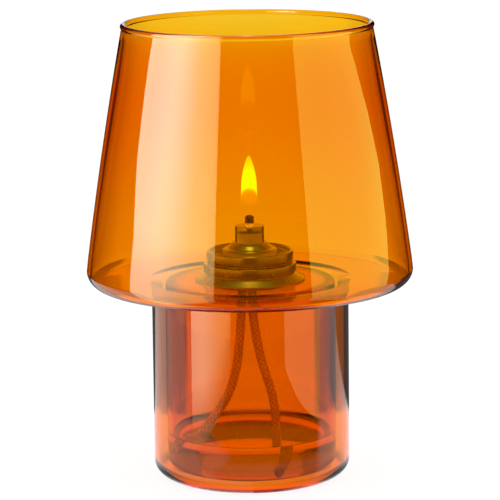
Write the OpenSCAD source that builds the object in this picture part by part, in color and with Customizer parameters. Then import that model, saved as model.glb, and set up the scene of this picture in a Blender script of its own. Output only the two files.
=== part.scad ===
// Table-lamp-shaped oil lamp: one amber glass body, shade and base in one piece,
// with a loose glass oil vessel that stands inside its base. The vessel carries a
// metal collar, a lift-out burner, a round wick and the wick's two feeder cords.
// Everything is round about Z, and the lamp stands on z = 0.

/* [Lamp glass] */
// Height of the whole lamp, table to rim
lamp_h = 224; // [200:1:250]
// Width of the rim, measured over its bead
rim_d = 123; // [110:0.5:140]
// Width of the shade at its widest, just above its floor
shade_d = 160; // [150:0.5:175]
// Width of the base
base_d = 96.7; // [92:0.1:106]
// Height of the underside of the shade's floor
joint_h = 96.1; // [85:0.1:105]
// Thickness of the lamp's walls and of the shade's floor
glass_t = 2.2; // [1.6:0.1:2.8]
// Thickness of the base's bottom
base_floor_t = 3; // [2:0.1:4]
// Outer radius of the shade's bottom corner
shade_corner_r = 7.1; // [5:0.1:9]
// Outer radius of the base's bottom corner
base_corner_r = 8; // [5:0.1:10]
// Radius of the hollow corner where the base meets the shade
waist_r = 1.6; // [1:0.1:3]
// How far the shade's side swells out of a straight cone
side_bulge = 0.8; // [0:0.1:1.6]
// How far the rim's fire-polished bead stands proud of the side
rim_bead_proud = 0.75; // [0.3:0.05:1.2]
// Width of the ground hollow under the base
base_hollow_d = 68; // [50:1:74]
// Depth of the ground hollow under the base
base_hollow_h = 0.6; // [0.3:0.1:1]

/* [Oil vessel] */
// Gap between the vessel and the base's wall, all round
vessel_gap = 4.35; // [2:0.05:6]
// Thickness of the vessel's walls and top
vessel_t = 2.4; // [1.8:0.1:3]
// Thickness of the vessel's bottom
vessel_floor_t = 3.4; // [2.4:0.1:5]
// How far the vessel's top lies below the shade's floor
vessel_drop = 0.6; // [0:0.1:3]
// Outer radius of the vessel's bottom corner
vessel_corner_r = 8; // [5:0.1:10]
// Outer radius of the vessel's shoulder
shoulder_r = 2.5; // [2:0.1:5]
// Inner radius of the vessel's shoulder, under its top
inner_shoulder_r = 3; // [2:0.1:5]
// Bore of the vessel's neck
neck_id = 38.8; // [36:0.1:41]
// Thickness of the neck's wall
neck_t = 2.2; // [1.6:0.1:2.6]
// Height of the neck above the vessel's top
neck_h = 8.1; // [7:0.1:12]
// Width of the hollow under the vessel
vessel_hollow_d = 54; // [40:1:60]
// Depth of the hollow under the vessel
vessel_hollow_h = 0.8; // [0.4:0.1:1.2]

/* [Lamp oil] */
// Height of the oil's surface above the table
oil_level = 21.5; // [14:0.5:40]

/* [Collar] */
// Thickness of the collar's band
collar_t = 1; // [0.8:0.1:1.4]
// Thickness of the lip that rests on the neck's rim
collar_lip_t = 0.5; // [0.4:0.1:1]
// Width of the collar's flared skirt
skirt_d = 54.4; // [52:0.1:58]
// Height of the skirt, up to the groove under the band
skirt_h = 3.4; // [3:0.1:4]
// Height of the groove between skirt and band
collar_groove_h = 0.9; // [0.6:0.1:1.4]
// Depth of that groove
collar_groove_d = 0.6; // [0.3:0.1:0.7]
// Number of crimp dimples round the band
dimple_count = 6; // [3:1:12]
// Width of one crimp dimple
dimple_d = 1.5; // [1:0.1:2]
// Depth of one crimp dimple
dimple_depth = 0.35; // [0.2:0.05:0.5]

/* [Burner] */
// Thickness of the burner's pressed sheet
sheet_t = 0.6; // [0.5:0.1:0.8]
// Width of the burner cap
cap_d = 42.6; // [42:0.1:45]
// Height of the burner cap's rim above its seat
cap_h = 5.3; // [4.8:0.1:7]
// Radius of the cap's rolled rim
cap_rim_r = 0.9; // [0.8:0.05:1.1]
// Radius of the cap's lower edge
cap_edge_r = 1.4; // [1:0.1:1.6]
// Depth of the trough inside the cap's rim
trough_d = 2.7; // [2.2:0.1:3]
// Width of the cone's foot in the trough
cone_foot_d = 29.2; // [26:0.1:31]
// Width of the ring at the top of the cone, at the foot of the tube
cone_top_d = 17.6; // [17:0.1:20]
// Height of the cone above the trough
cone_h = 6.6; // [4:0.1:9]
// Length of the sleeve below the cap's seat
sleeve_l = 14; // [10:0.5:20]
// Height of the guide plate above the sleeve's lower end
plate_rise = 0.8; // [0:0.1:3]
// Number of air holes in the guide plate
vent_count = 6; // [3:1:10]
// Width of one air hole
vent_d = 3; // [1:0.1:3.5]

/* [Wick tube] */
// Outer width of the wick tube
tube_d = 14.3; // [13.6:0.1:16]
// Wall of the wick tube
tube_t = 0.7; // [0.5:0.1:0.8]
// Height of the tube above the cone
tube_h = 8.1; // [6:0.1:14]
// Height of the turned tip on top of the tube
tip_h = 3.2; // [2.4:0.1:5]
// Thickness of the tip's top
tip_top_t = 1.2; // [0.8:0.1:1.6]
// How far the tube reaches below the sleeve
tube_drop = 2; // [0:0.1:5]

/* [Wick] */
// Width of the wick and of its feeder cords
wick_d = 4.6; // [4:0.1:4.6]
// How far the wick stands out of its tip
wick_out = 5; // [2:0.5:8]
// Length of the glass-fibre wick
wick_l = 17.5; // [14:0.5:22]
// Radius of the wick's burnt top edge
wick_top_r = 1.5; // [0.5:0.1:2]

/* [Fits] */
// Gap between the collar and the glass neck, filled by cement
collar_fit = 0.1; // [0.05:0.05:0.2]
// Gap between the burner's sleeve and the neck's bore
sleeve_fit = 0.35; // [0.2:0.05:0.6]
// Thickness of the sealing ring under the cap
seal_t = 0.9; // [0.6:0.1:2]
// Width of the sealing ring's face
seal_w = 1.6; // [1.2:0.1:2]
// Gap between the sealing ring and the sleeve
seal_fit = 0.15; // [0.05:0.05:0.3]
// Gap between the wick and the hole in its tip
wick_fit = 0.2; // [0.1:0.05:0.4]
// Gap between pieces that are soldered or pressed together
seam = 0.03; // [0.01:0.01:0.05]
// Gap between the oil and the glass or cord in it
oil_gap = 0.3; // [0.1:0.05:0.5]

/* [Hidden] */
$fn = 96;

AMBER = [0.93, 0.45, 0.05, 0.45];
DEEP_AMBER = [0.85, 0.32, 0.02, 0.5];
OIL = [0.95, 0.75, 0.35, 0.5];
STEEL = [0.78, 0.77, 0.74];
SEAL = [0.16, 0.12, 0.1];
FIBRE = [0.86, 0.83, 0.76];
COTTON = [0.92, 0.88, 0.78];

// Lamp glass
base_r = base_d / 2;
shade_r = shade_d / 2;
base_in_r = base_r - glass_t;
shade_floor_z = joint_h + glass_t;
bead_r = (glass_t + rim_bead_proud) / 2;
side_top_r = rim_d / 2 - rim_bead_proud;
side_top_z = lamp_h - bead_r;
corner_x = shade_r - shade_corner_r;
corner_z = joint_h + shade_corner_r;
foot_lean = atan((shade_r - side_top_r - 4 * side_bulge) / (side_top_z - corner_z));
side_foot_r = corner_x + shade_corner_r * cos(foot_lean);
side_foot_z = corner_z + shade_corner_r * sin(foot_lean);
side_h = side_top_z - side_foot_z;
SIDE_STEPS = 12;

// Oil vessel
vessel_r = base_in_r - vessel_gap;
vessel_in_r = vessel_r - vessel_t;
vessel_z = base_floor_t;
vessel_top_z = shade_floor_z - vessel_drop;
vessel_floor_z = vessel_z + vessel_floor_t;
vessel_roof_z = vessel_top_z - vessel_t;
vessel_in_corner_r = vessel_corner_r - vessel_t;
neck_in_r = neck_id / 2;
neck_r = neck_in_r + neck_t;
neck_top_z = vessel_top_z + neck_h;
neck_root_r = 1.2;
neck_lip_r = neck_t / 3;

// Collar
collar_in_r = neck_r + collar_fit;
collar_r = collar_in_r + collar_t;
collar_top_z = neck_top_z + collar_lip_t;
skirt_r = skirt_d / 2;
skirt_edge_h = 0.9;
band_z = vessel_top_z + skirt_h + collar_groove_h;
band_chamfer = 0.3;
dimple_z = band_z + (collar_top_z - band_z) / 3;

// Burner
seat_z = collar_top_z + seal_t;
sleeve_r = neck_in_r - sleeve_fit;
sleeve_in_r = sleeve_r - sheet_t;
sleeve_z = seat_z - sleeve_l;
plate_z = sleeve_z + plate_rise;
seal_in_r = sleeve_r + seal_fit;
cap_r = cap_d / 2;
cap_rim_z = seat_z + cap_h - cap_rim_r;
cap_rim_x = cap_r - cap_rim_r;
trough_r = cap_r - 2 * cap_rim_r;
trough_z = seat_z + cap_h - trough_d;
trough_corner_r = 1.1;
cone_foot_r = cone_foot_d / 2;
cone_top_r = cone_top_d / 2;
cone_top_z = trough_z + cone_h;
cone_ring_h = 0.7;
cone_slope = atan2(cone_h - cone_ring_h, cone_foot_r - cone_top_r);
cone_under = sheet_t / sin(cone_slope);

// Wick tube
tube_r = tube_d / 2;
tube_in_r = tube_r - tube_t;
tube_z = sleeve_z - tube_drop;
tip_top_z = cone_top_z + tube_h;
tip_z = tip_top_z - tip_h;
tip_groove = 0.25;
tip_round_r = 0.4;
tip_spigot_l = 2;

// Wick
wick_r = wick_d / 2;
wick_top_z = tip_top_z + wick_out;

// Routes of the two feeder cords, from inside the tube down into the oil.
CORD_SIDES = 10;
LEFT_ROUTE = [
    [-4, 0, 106], [-4, 0, 99], [-4, 0, 92], [-4.2, 0, 85], [-4.7, 0, 78],
    [-5.2, 0, 71], [-5.8, 0, 64], [-6.6, 0, 57], [-8, 0, 50], [-10, -0.3, 43.5],
    [-12.8, -0.7, 37.5], [-16.2, -1.2, 32], [-20, -1.8, 27], [-24, -2.5, 22],
    [-27.6, -3.2, 17.5], [-31, -4, 13]
];
RIGHT_ROUTE = [
    [0.9, 0, 106], [0.9, 0, 99], [0.9, 0, 92], [1, 0, 85], [1.5, 0, 78],
    [2.4, 0, 71], [3.6, 0, 64], [5.2, 0, 57], [7.2, 0, 50], [9.2, 0, 43.5],
    [10.8, 0, 37], [11.8, 0, 30], [12.2, -0.2, 23], [12.2, -1.8, 17],
    [12.2, -6, 12], [12.1, -12, 9.6], [12, -18.5, 9.2], [11.9, -25, 9.2],
    [11.8, -31, 9.2]
];

// Points of an arc about [x, z], from angle a0 to angle a1.
function arc(x, z, r, a0, a1, steps = 10) = [
    for (i = [0:steps])
        let (a = a0 + (a1 - a0) * i / steps)
            [x + r * cos(a), z + r * sin(a)]
];

// The shade's outer side at u, from 0 at its foot to 1 under the rim.
function side_point(u) = [
    side_foot_r + (side_top_r - side_foot_r) * u + 4 * side_bulge * u * (1 - u),
    side_foot_z + side_h * u
];

// The way the side faces at u.
function side_lean(u) =
    atan((side_foot_r - side_top_r - 4 * side_bulge * (1 - 2 * u)) / side_h);

// The side at u, set in by a wall of thickness t.
function side_inset(u, t) =
    side_point(u) - t * [cos(side_lean(u)), sin(side_lean(u))];

// A tube of radius r swept along a route, one ring of points at each stop.
function unit(v) = v / norm(v);
function route_dir(route, i) =
    unit(route[min(i + 1, len(route) - 1)] - route[max(i - 1, 0)]);
function ring(route, i, r, sides) =
    let (d = route_dir(route, i),
         across = unit(cross(d, [1, 0, 0])),
         up = cross(across, d))
    [for (k = [0:sides - 1])
        let (a = 360 * k / sides)
            route[i] + r * (cos(a) * across + sin(a) * up)];

module cord(route, r, sides = CORD_SIDES) {
    last = len(route) - 1;
    points = [for (i = [0:last]) each ring(route, i, r, sides)];
    skin = [
        for (i = [0:last - 1], k = [0:sides - 1])
            let (a = i * sides, n = (k + 1) % sides)
                [a + k, a + n, a + sides + n, a + sides + k]
    ];
    start = [for (k = [sides - 1:-1:0]) k];
    end = [for (k = [0:sides - 1]) last * sides + k];
    polyhedron(points, concat([start], skin, [end]), convexity = 8);
}

module turned(outline) {
    rotate_extrude(convexity = 8) polygon(outline);
}

// Shade and base, blown as one open vessel.
module lamp_glass() {
    hollow_r = base_hollow_d / 2;
    in_corner_r = base_corner_r - glass_t;
    outline = concat(
        [[0, base_hollow_h], [hollow_r - base_hollow_h, base_hollow_h], [hollow_r, 0]],
        arc(base_r - base_corner_r, base_corner_r, base_corner_r, -90, 0),
        arc(base_r + waist_r, joint_h - waist_r, waist_r, 180, 90, 6),
        arc(corner_x, corner_z, shade_corner_r, -90, 0),
        arc(corner_x, corner_z, shade_corner_r, foot_lean / 2, foot_lean, 1),
        [for (i = [1:SIDE_STEPS]) side_point(i / SIDE_STEPS)],
        [for (i = [SIDE_STEPS:-1:1]) side_inset(i / SIDE_STEPS, glass_t)],
        arc(corner_x, corner_z, shade_corner_r - glass_t, foot_lean, foot_lean / 2, 1),
        arc(corner_x, corner_z, shade_corner_r - glass_t, 0, -90),
        arc(base_r + waist_r, joint_h - waist_r, waist_r + glass_t, 90, 180, 8),
        arc(base_r - base_corner_r, base_floor_t + in_corner_r, in_corner_r, 0, -90),
        [[0, base_floor_t]]
    );
    color(AMBER) rotate_extrude(convexity = 8) {
        polygon(outline);
        translate([side_top_r + rim_bead_proud - bead_r, side_top_z]) circle(bead_r, $fn = 24);
    }
}

// The loose glass vessel that holds the oil, with its short neck.
module oil_vessel() {
    hollow_r = vessel_hollow_d / 2;
    outline = concat(
        [
            [0, vessel_z + vessel_hollow_h],
            [hollow_r - vessel_hollow_h, vessel_z + vessel_hollow_h],
            [hollow_r, vessel_z]
        ],
        arc(vessel_r - vessel_corner_r, vessel_z + vessel_corner_r, vessel_corner_r, -90, 0),
        arc(vessel_r - shoulder_r, vessel_top_z - shoulder_r, shoulder_r, 0, 90, 8),
        arc(neck_r + neck_root_r, vessel_top_z + neck_root_r, neck_root_r, 270, 180, 5),
        arc(neck_r - neck_lip_r, neck_top_z - neck_lip_r, neck_lip_r, 0, 90, 5),
        arc(neck_in_r + neck_lip_r, neck_top_z - neck_lip_r, neck_lip_r, 90, 180, 5),
        arc(neck_in_r + neck_lip_r, vessel_roof_z + neck_lip_r, neck_lip_r, 180, 270, 5),
        arc(vessel_in_r - inner_shoulder_r, vessel_roof_z - inner_shoulder_r,
            inner_shoulder_r, 90, 0, 8),
        arc(vessel_in_r - vessel_in_corner_r, vessel_floor_z + vessel_in_corner_r,
            vessel_in_corner_r, 0, -90),
        [[0, vessel_floor_z]]
    );
    color(DEEP_AMBER) turned(outline);
}

// The oil in the vessel, with a way left clear round each cord.
module lamp_oil() {
    r = vessel_in_r - oil_gap;
    corner = vessel_in_corner_r - oil_gap;
    z = vessel_floor_z + oil_gap;
    outline = concat([[0, z]], arc(r - corner, z + corner, corner, -90, 0),
                     [[r, oil_level], [0, oil_level]]);
    color(OIL) difference() {
        turned(outline);
        cord(LEFT_ROUTE, wick_r + oil_gap);
        cord(RIGHT_ROUTE, wick_r + oil_gap);
    }
}

// The pressed collar cemented round the neck, with a flared skirt below.
module neck_collar() {
    outline = [
        [skirt_r - collar_t, vessel_top_z],
        [skirt_r, vessel_top_z],
        [skirt_r, vessel_top_z + skirt_edge_h],
        [collar_r - collar_groove_d, vessel_top_z + skirt_h],
        [collar_r - collar_groove_d, band_z - band_chamfer],
        [collar_r, band_z],
        [collar_r, collar_top_z - band_chamfer],
        [collar_r - band_chamfer, collar_top_z],
        [neck_in_r + neck_lip_r / 2, collar_top_z],
        [neck_in_r + neck_lip_r / 2, neck_top_z],
        [collar_in_r, neck_top_z],
        [collar_in_r, vessel_top_z + skirt_h - skirt_edge_h]
    ];
    color(STEEL) difference() {
        turned(outline);
        for (i = [0:dimple_count - 1])
            rotate([0, 0, 360 * (i + 0.5) / dimple_count + 90])
                translate([collar_r - dimple_depth, 0, dimple_z])
                    rotate([0, 90, 0]) cylinder(h = collar_t, d = dimple_d, $fn = 24);
    }
}

// The soft ring that the burner cap is seated on.
module seal_ring() {
    color(SEAL) turned([
        [seal_in_r, collar_top_z], [seal_in_r + seal_w, collar_top_z],
        [seal_in_r + seal_w, seat_z], [seal_in_r, seat_z]
    ]);
}

// The pressed cap: rolled rim, trough and a cone up to the wick tube.
module burner_cap() {
    lip_r = sleeve_r + seam;
    hole_r = tube_r + seam;
    fold_r = cap_rim_r - sheet_t;
    outline = concat(
        [[lip_r, seat_z]],
        arc(cap_r - cap_edge_r, seat_z + cap_edge_r, cap_edge_r, -90, 0, 6),
        arc(cap_rim_x, cap_rim_z, cap_rim_r, 0, 180, 10),
        arc(trough_r - trough_corner_r, trough_z + trough_corner_r, trough_corner_r, 0, -90, 5),
        [
            [cone_foot_r, trough_z],
            [cone_top_r, cone_top_z - cone_ring_h],
            [cone_top_r - cone_ring_h / 3, cone_top_z],
            [hole_r, cone_top_z],
            [hole_r, cone_top_z - cone_ring_h - cone_under],
            [cone_top_r, cone_top_z - cone_ring_h - cone_under],
            [cone_foot_r - cone_under / 3, trough_z - sheet_t]
        ],
        arc(trough_r - trough_corner_r, trough_z + trough_corner_r,
            trough_corner_r + sheet_t, -90, 0, 5),
        arc(cap_rim_x, cap_rim_z, fold_r, 180, 0, 6),
        arc(cap_r - cap_edge_r, seat_z + cap_edge_r, cap_edge_r - sheet_t, 0, -90, 6),
        [[lip_r, seat_z + sheet_t]]
    );
    color(STEEL) turned(outline);
}

// The sleeve that guides the burner in the neck, soldered under the trough.
module burner_sleeve() {
    color(STEEL) turned([
        [sleeve_in_r, sleeve_z], [sleeve_r, sleeve_z],
        [sleeve_r, trough_z - sheet_t], [sleeve_in_r, trough_z - sheet_t]
    ]);
}

// The plate that centres the wick tube in the sleeve, with air holes.
module guide_plate() {
    color(STEEL) difference() {
        turned([
            [tube_r + seam, plate_z], [sleeve_in_r - seam, plate_z],
            [sleeve_in_r - seam, plate_z + sheet_t], [tube_r + seam, plate_z + sheet_t]
        ]);
        for (i = [0:vent_count - 1])
            rotate([0, 0, 360 * i / vent_count])
                translate([(tube_r + sleeve_in_r) / 2, 0, plate_z - sheet_t])
                    cylinder(h = 3 * sheet_t, d = vent_d, $fn = 24);
    }
}

module wick_tube() {
    color(STEEL) turned([
        [tube_in_r, tube_z], [tube_r, tube_z], [tube_r, tip_z], [tube_in_r, tip_z]
    ]);
}

// The turned tip that closes the tube and holds the wick upright.
module tube_tip() {
    hole_r = wick_r + wick_fit;
    spigot_r = tube_in_r - seam;
    outline = concat(
        [
            [spigot_r - tube_t, tip_z - tip_spigot_l], [spigot_r, tip_z - tip_spigot_l],
            [spigot_r, tip_z], [tube_r - tip_groove, tip_z],
            [tube_r - tip_groove, tip_z + tip_groove], [tube_r, tip_z + 2 * tip_groove]
        ],
        arc(tube_r - tip_round_r, tip_top_z - tip_round_r, tip_round_r, 0, 90, 5),
        [
            [hole_r + tip_top_t, tip_top_z - tip_groove],
            [hole_r, tip_top_z - 2 * tip_groove],
            [hole_r, tip_top_z - tip_top_t],
            [spigot_r - tube_t, tip_top_z - tip_top_t]
        ]
    );
    color(STEEL) turned(outline);
}

// The glass-fibre wick, with a burnt and rounded top.
module wick() {
    outline = concat(
        [[0, wick_top_z - wick_l], [wick_r, wick_top_z - wick_l]],
        arc(wick_r - wick_top_r, wick_top_z - wick_top_r, wick_top_r, 0, 90, 6),
        [[0, wick_top_z]]
    );
    color(FIBRE) turned(outline);
}

// The cotton cords that draw oil up into the tube.
module feeder_cord_left() {
    color(COTTON) cord(LEFT_ROUTE, wick_r);
}

module feeder_cord_right() {
    color(COTTON) cord(RIGHT_ROUTE, wick_r);
}

lamp_glass();
oil_vessel();
lamp_oil();
neck_collar();
seal_ring();
burner_cap();
burner_sleeve();
guide_plate();
wick_tube();
tube_tip();
wick();
feeder_cord_left();
feeder_cord_right();
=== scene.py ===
"""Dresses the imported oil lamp: amber glass, plated burner, plaited wick and cords, oil and flame.

Every length is in metres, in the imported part's own frame: +Z runs up the lamp's axis, -Y points
towards the viewer, and the table is at z = 0.
"""

import math

import bpy
from mathutils import Matrix, Vector


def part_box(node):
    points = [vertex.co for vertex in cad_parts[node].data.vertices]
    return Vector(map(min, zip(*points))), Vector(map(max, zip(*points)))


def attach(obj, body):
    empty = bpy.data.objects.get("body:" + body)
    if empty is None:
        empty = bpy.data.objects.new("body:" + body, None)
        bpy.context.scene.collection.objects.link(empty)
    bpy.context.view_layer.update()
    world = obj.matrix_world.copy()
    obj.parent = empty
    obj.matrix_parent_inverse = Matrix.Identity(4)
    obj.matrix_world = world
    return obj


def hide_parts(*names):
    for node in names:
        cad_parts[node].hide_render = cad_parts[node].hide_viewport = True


bl_info = {
    "name": "Glass oil lamp",
    "version": (1, 0, 0),
    "blender": (4, 5, 0),
    "location": "3D View > Sidebar > Oil lamp",
    "description": "Glass, burner, wick, cords, oil and flame of a table-lamp-shaped oil lamp",
    "category": "Object",
}

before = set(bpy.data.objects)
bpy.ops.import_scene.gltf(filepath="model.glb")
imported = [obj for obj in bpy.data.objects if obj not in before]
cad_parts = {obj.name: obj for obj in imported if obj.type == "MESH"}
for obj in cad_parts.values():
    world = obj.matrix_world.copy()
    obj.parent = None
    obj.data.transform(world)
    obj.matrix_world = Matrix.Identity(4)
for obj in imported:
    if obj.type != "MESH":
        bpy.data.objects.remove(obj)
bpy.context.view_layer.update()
MM = 0.001

# ------------------------------------------------------------------ sizes that the frame gives
LAMP_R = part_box("lamp_glass")[1].x
LAMP_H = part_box("lamp_glass")[1].z
VESSEL_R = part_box("oil_vessel")[1].x
VESSEL_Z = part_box("oil_vessel")[0].z
NECK_TOP_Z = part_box("oil_vessel")[1].z
OIL_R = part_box("lamp_oil")[1].x
OIL_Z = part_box("lamp_oil")[0].z
OIL_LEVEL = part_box("lamp_oil")[1].z
COLLAR_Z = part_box("neck_collar")[0].z
COLLAR_TOP_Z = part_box("neck_collar")[1].z
SKIRT_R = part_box("neck_collar")[1].x
SEAL_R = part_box("seal_ring")[1].x
CAP_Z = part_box("burner_cap")[0].z
CAP_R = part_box("burner_cap")[1].x
CONE_TOP_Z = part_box("burner_cap")[1].z
SLEEVE_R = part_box("burner_sleeve")[1].x
SLEEVE_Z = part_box("burner_sleeve")[0].z
SLEEVE_TOP_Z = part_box("burner_sleeve")[1].z
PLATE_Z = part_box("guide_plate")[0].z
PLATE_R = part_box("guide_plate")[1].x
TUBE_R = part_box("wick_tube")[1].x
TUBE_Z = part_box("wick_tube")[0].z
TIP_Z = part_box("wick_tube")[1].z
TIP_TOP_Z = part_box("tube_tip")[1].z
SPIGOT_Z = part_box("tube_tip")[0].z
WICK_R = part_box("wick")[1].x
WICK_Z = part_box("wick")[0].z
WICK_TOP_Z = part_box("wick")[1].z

# ------------------------------------------------------------------ sizes of the pieces
GLASS_T = 2.2 * MM
BASE_R = 48.35 * MM
BASE_FLOOR_T = 3.0 * MM
BASE_CORNER_R = 8.0 * MM
BASE_HOLLOW_R = 34.0 * MM
BASE_HOLLOW_H = 0.6 * MM
JOINT_Z = 96.1 * MM
WAIST_R = 1.6 * MM
SHADE_CORNER_R = 7.1 * MM
SIDE_BULGE = 0.8 * MM
RIM_R = 61.5 * MM
WALL_SWELL = 0.7 * MM
RIM_THINNING = 0.3 * MM
BEAD_PROUD = 0.75 * MM

VESSEL_T = 2.4 * MM
VESSEL_FLOOR_T = 3.4 * MM
VESSEL_CORNER_R = 8.0 * MM
VESSEL_HOLLOW_R = 27.0 * MM
VESSEL_HOLLOW_H = 0.8 * MM
VESSEL_TOP_Z = 97.7 * MM
SHOULDER_R = 2.5 * MM
INNER_SHOULDER_R = 3.0 * MM
NECK_IN_R = 19.4 * MM
NECK_T = 2.2 * MM
NECK_ROOT_R = 1.2 * MM
FOOT_LIFT = 0.04 * MM

OIL_OVERLAP = 0.05 * MM
OIL_GAP = 0.3 * MM
MENISCUS_H = 1.3 * MM
MENISCUS_W = 1.5 * MM

COLLAR_T = 1.0 * MM
COLLAR_FIT = 0.1 * MM
COLLAR_R = NECK_IN_R + NECK_T + COLLAR_FIT + COLLAR_T
GROOVE_D = 0.6 * MM
SKIRT_H = 3.4 * MM
SKIRT_EDGE_H = 0.9 * MM
GROOVE_H = 0.9 * MM
DIMPLE_COUNT = 6
DIMPLE_R = 0.75 * MM
DIMPLE_D = 0.35 * MM

SHEET_T = 0.6 * MM
CAP_H = 5.3 * MM
CAP_RIM_R = 0.9 * MM
CAP_EDGE_R = 1.4 * MM
TROUGH_D = 2.7 * MM
TROUGH_CORNER_R = 1.1 * MM
CONE_FOOT_R = 14.6 * MM
CONE_TOP_R = 8.8 * MM
CONE_RING_H = 0.7 * MM
CONE_SHAPE = [(0.0, 0.0), (0.25, 0.52), (0.57, 0.655), (1.0, 1.0)]
TUBE_T = 0.7 * MM
SEAM = 0.03 * MM
TIP_GROOVE = 0.25 * MM
TIP_ROUND_R = 0.4 * MM
TIP_WALL_T = 1.2 * MM
WICK_FIT = 0.2 * MM
VENT_COUNT = 6
VENT_R = 1.5 * MM
SEAL_FIT = 0.15 * MM
SEAL_ROUND_R = 0.25 * MM
EDGE_SOFTNESS = 0.12 * MM
TIP_SOFTNESS = EDGE_SOFTNESS / 2

CORD_PLAIT = {"depth": 0.35 * MM, "strands": 5, "pitch": 2.6 * MM, "sides": 40}
WICK_PLAIT = {"depth": 0.3 * MM, "strands": 6, "pitch": 2.2 * MM, "sides": 72}
CORD_POINTS_PER_SPAN = 16
WICK_RINGS = 150
WICK_DOME_H = 1.5 * MM
WICK_DOME_TOP = 0.45  # share of the wick's radius
CHAR_FROM_H, CHAR_TO_H = 0.6 * MM, 1.6 * MM  # above the tip
CHAR_RAGGED = 1.6 * MM
FLAME_CLEAR_H, FLAME_BODY_H = 4.0 * MM, 13.0 * MM  # above the wick
FLAME_TIP_H = 9.0 * MM
FLAME_EDGE_LIFT = 5.0 * MM
FLAME_SOFTNESS = (-1.5 * MM, 2.0 * MM)

# ------------------------------------------------------------------ the studio
# Angles go round the lamp from straight behind it. A pair is where a change starts and ends, unless
# its line says otherwise.
FLOOR_SIZE = 8.0
FLOOR_Z = -0.2 * MM
FLOOR_GLOW = 1.05
FLOOR_GLOW_SHARE = 0.85

# The table that glass and metal show, with two dark flags behind the lamp and a gap between them.
TABLE_R = 0.5
TABLE_Z = -0.1 * MM
FLAG_START = 33.8 * MM
FLAG_SLOPE = 0.127
FLAG_EDGE = (-4 * MM, 6 * MM)
FLAG_NEAR_Y = (110 * MM, 125 * MM)
FLAG_ENDS = (math.tan(math.radians(36.0)), math.tan(math.radians(68.0)))  # left, right
FLAG_END_EDGE = (-10 * MM, 10 * MM)
FLAG_LIGHT = 0.36
FLAG_MIRRORED = 0.1
MIDLINE = (-MM, MM)
TABLE_LIGHT = 1.1
NEAR_TABLE_R = (88 * MM, 102 * MM)
NEAR_TABLE_LIGHT = 0.35
LEFT_PATCH_X = (-48 * MM, -30 * MM)
LEFT_PATCH_Y = (-115 * MM, -90 * MM)
LEFT_PATCH_LIGHT = 0.7
BRIGHT_FROM_Y = (-66 * MM, -42 * MM)  # left, right
BRIGHT_EDGE = (-8 * MM, 8 * MM)
INSIDE_Y = (-50 * MM, -35 * MM)
TABLE_INSIDE = (0.12, 0.38)  # before and past INSIDE_Y
NEAR_INSIDE_R = (140 * MM, 180 * MM)
SHADOW_R = (43 * MM, 49 * MM, 50 * MM, 62 * MM)  # a ring that darkens, then clears
SHADOW_LIGHT = 0.3

# The world: a white backdrop behind the lamp, and dim glows that mirrors show.
BACKDROP_EDGE = (math.radians(22.0), math.radians(25.0))
BACKDROP_TOP = (0.45, 0.7)
BACKDROP_TOP_SHARE = 0.3
BESIDE_BACKDROP = 0.15
DARK_ROOM = 0.03
MIRRORED_EDGE = (math.radians(5.9), math.radians(7.1))
OVERHEAD = (0.98, 0.996)
OVERHEAD_INSIDE_SHARE = 0.5
SIDE_GLOW_START = (math.radians(56.0), math.radians(70.0))
SIDE_GLOW_END = (math.radians(150.0), math.radians(168.0))
SIDE_GLOWS = (1.0, 0.6)  # left, right
SIDE_BLEND = (-0.05, 0.05)
FRONT_GLOW = 0.12
HORIZON = (-0.05, 0.1)
HIGH_UP = (0.5, 0.8)
HIGH_GLOW = 0.25

# The diffuser on the left and the card on the right: corners are (y, z) in millimetres, and colours
# go with a share of PANEL_H upwards or of the panel's depth from front to back.
PANEL_H = 200 * MM
LEFT_PANEL_X = -90 * MM
LEFT_PANEL_Y = (-235 * MM, -38 * MM)  # front, back
LEFT_PANEL = [
    (-235, 1), (-56, 1), (-56, 90), (-52, 130), (-43, 168), (-38, 215), (-38, 420), (-235, 420),
]
LEFT_PANEL_LEVELS = [
    (0.05, (0.12, 0.12, 0.11)), (0.11, (0.3, 0.3, 0.25)), (0.17, (0.45, 0.45, 0.38)),
    (0.3, (0.46, 0.46, 0.39)),
    (0.55, (0.62, 0.62, 0.62)), (0.68, (0.94, 0.94, 0.94)), (0.85, (1.0, 1.0, 1.0)),
]
LEFT_PANEL_COLOURS = [
    (0.0, (0.5, 0.4, 0.16)), (0.23, (0.57, 0.52, 0.217)), (0.489, (0.66, 0.63, 0.3)),
    (0.652, (0.7, 0.82, 0.565)), (0.772, (0.79, 1.0, 0.76)), (0.858, (0.79, 0.87, 0.74)),
    (0.943, (0.72, 0.71, 0.53)),
]
RIGHT_CARD_X = 146 * MM
RIGHT_CARD_Y = (-200 * MM, 12 * MM)  # front, back
RIGHT_CARD_LEVELS = [(0.3, (0.73, 0.53, 1.5)), (0.6, (1.0, 1.0, 1.0))]
RIGHT_CARD = [
    (-200, 0), (-40, 0), (-37, 50), (5, 130), (12, 160), (4, 190), (-8, 215), (-70, 330),
    (-200, 420),
]

# The flame's outline, as shares of its radius and of its height above the wick.
FLAME_SHAPE = [
    (0.55, -0.03), (0.75, 0.07), (0.93, 0.17), (1.0, 0.29), (1.01, 0.4), (0.98, 0.53),
    (0.89, 0.65), (0.67, 0.79), (0.37, 0.92), (0.17, 0.975), (0.0, 1.0),
]

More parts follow.
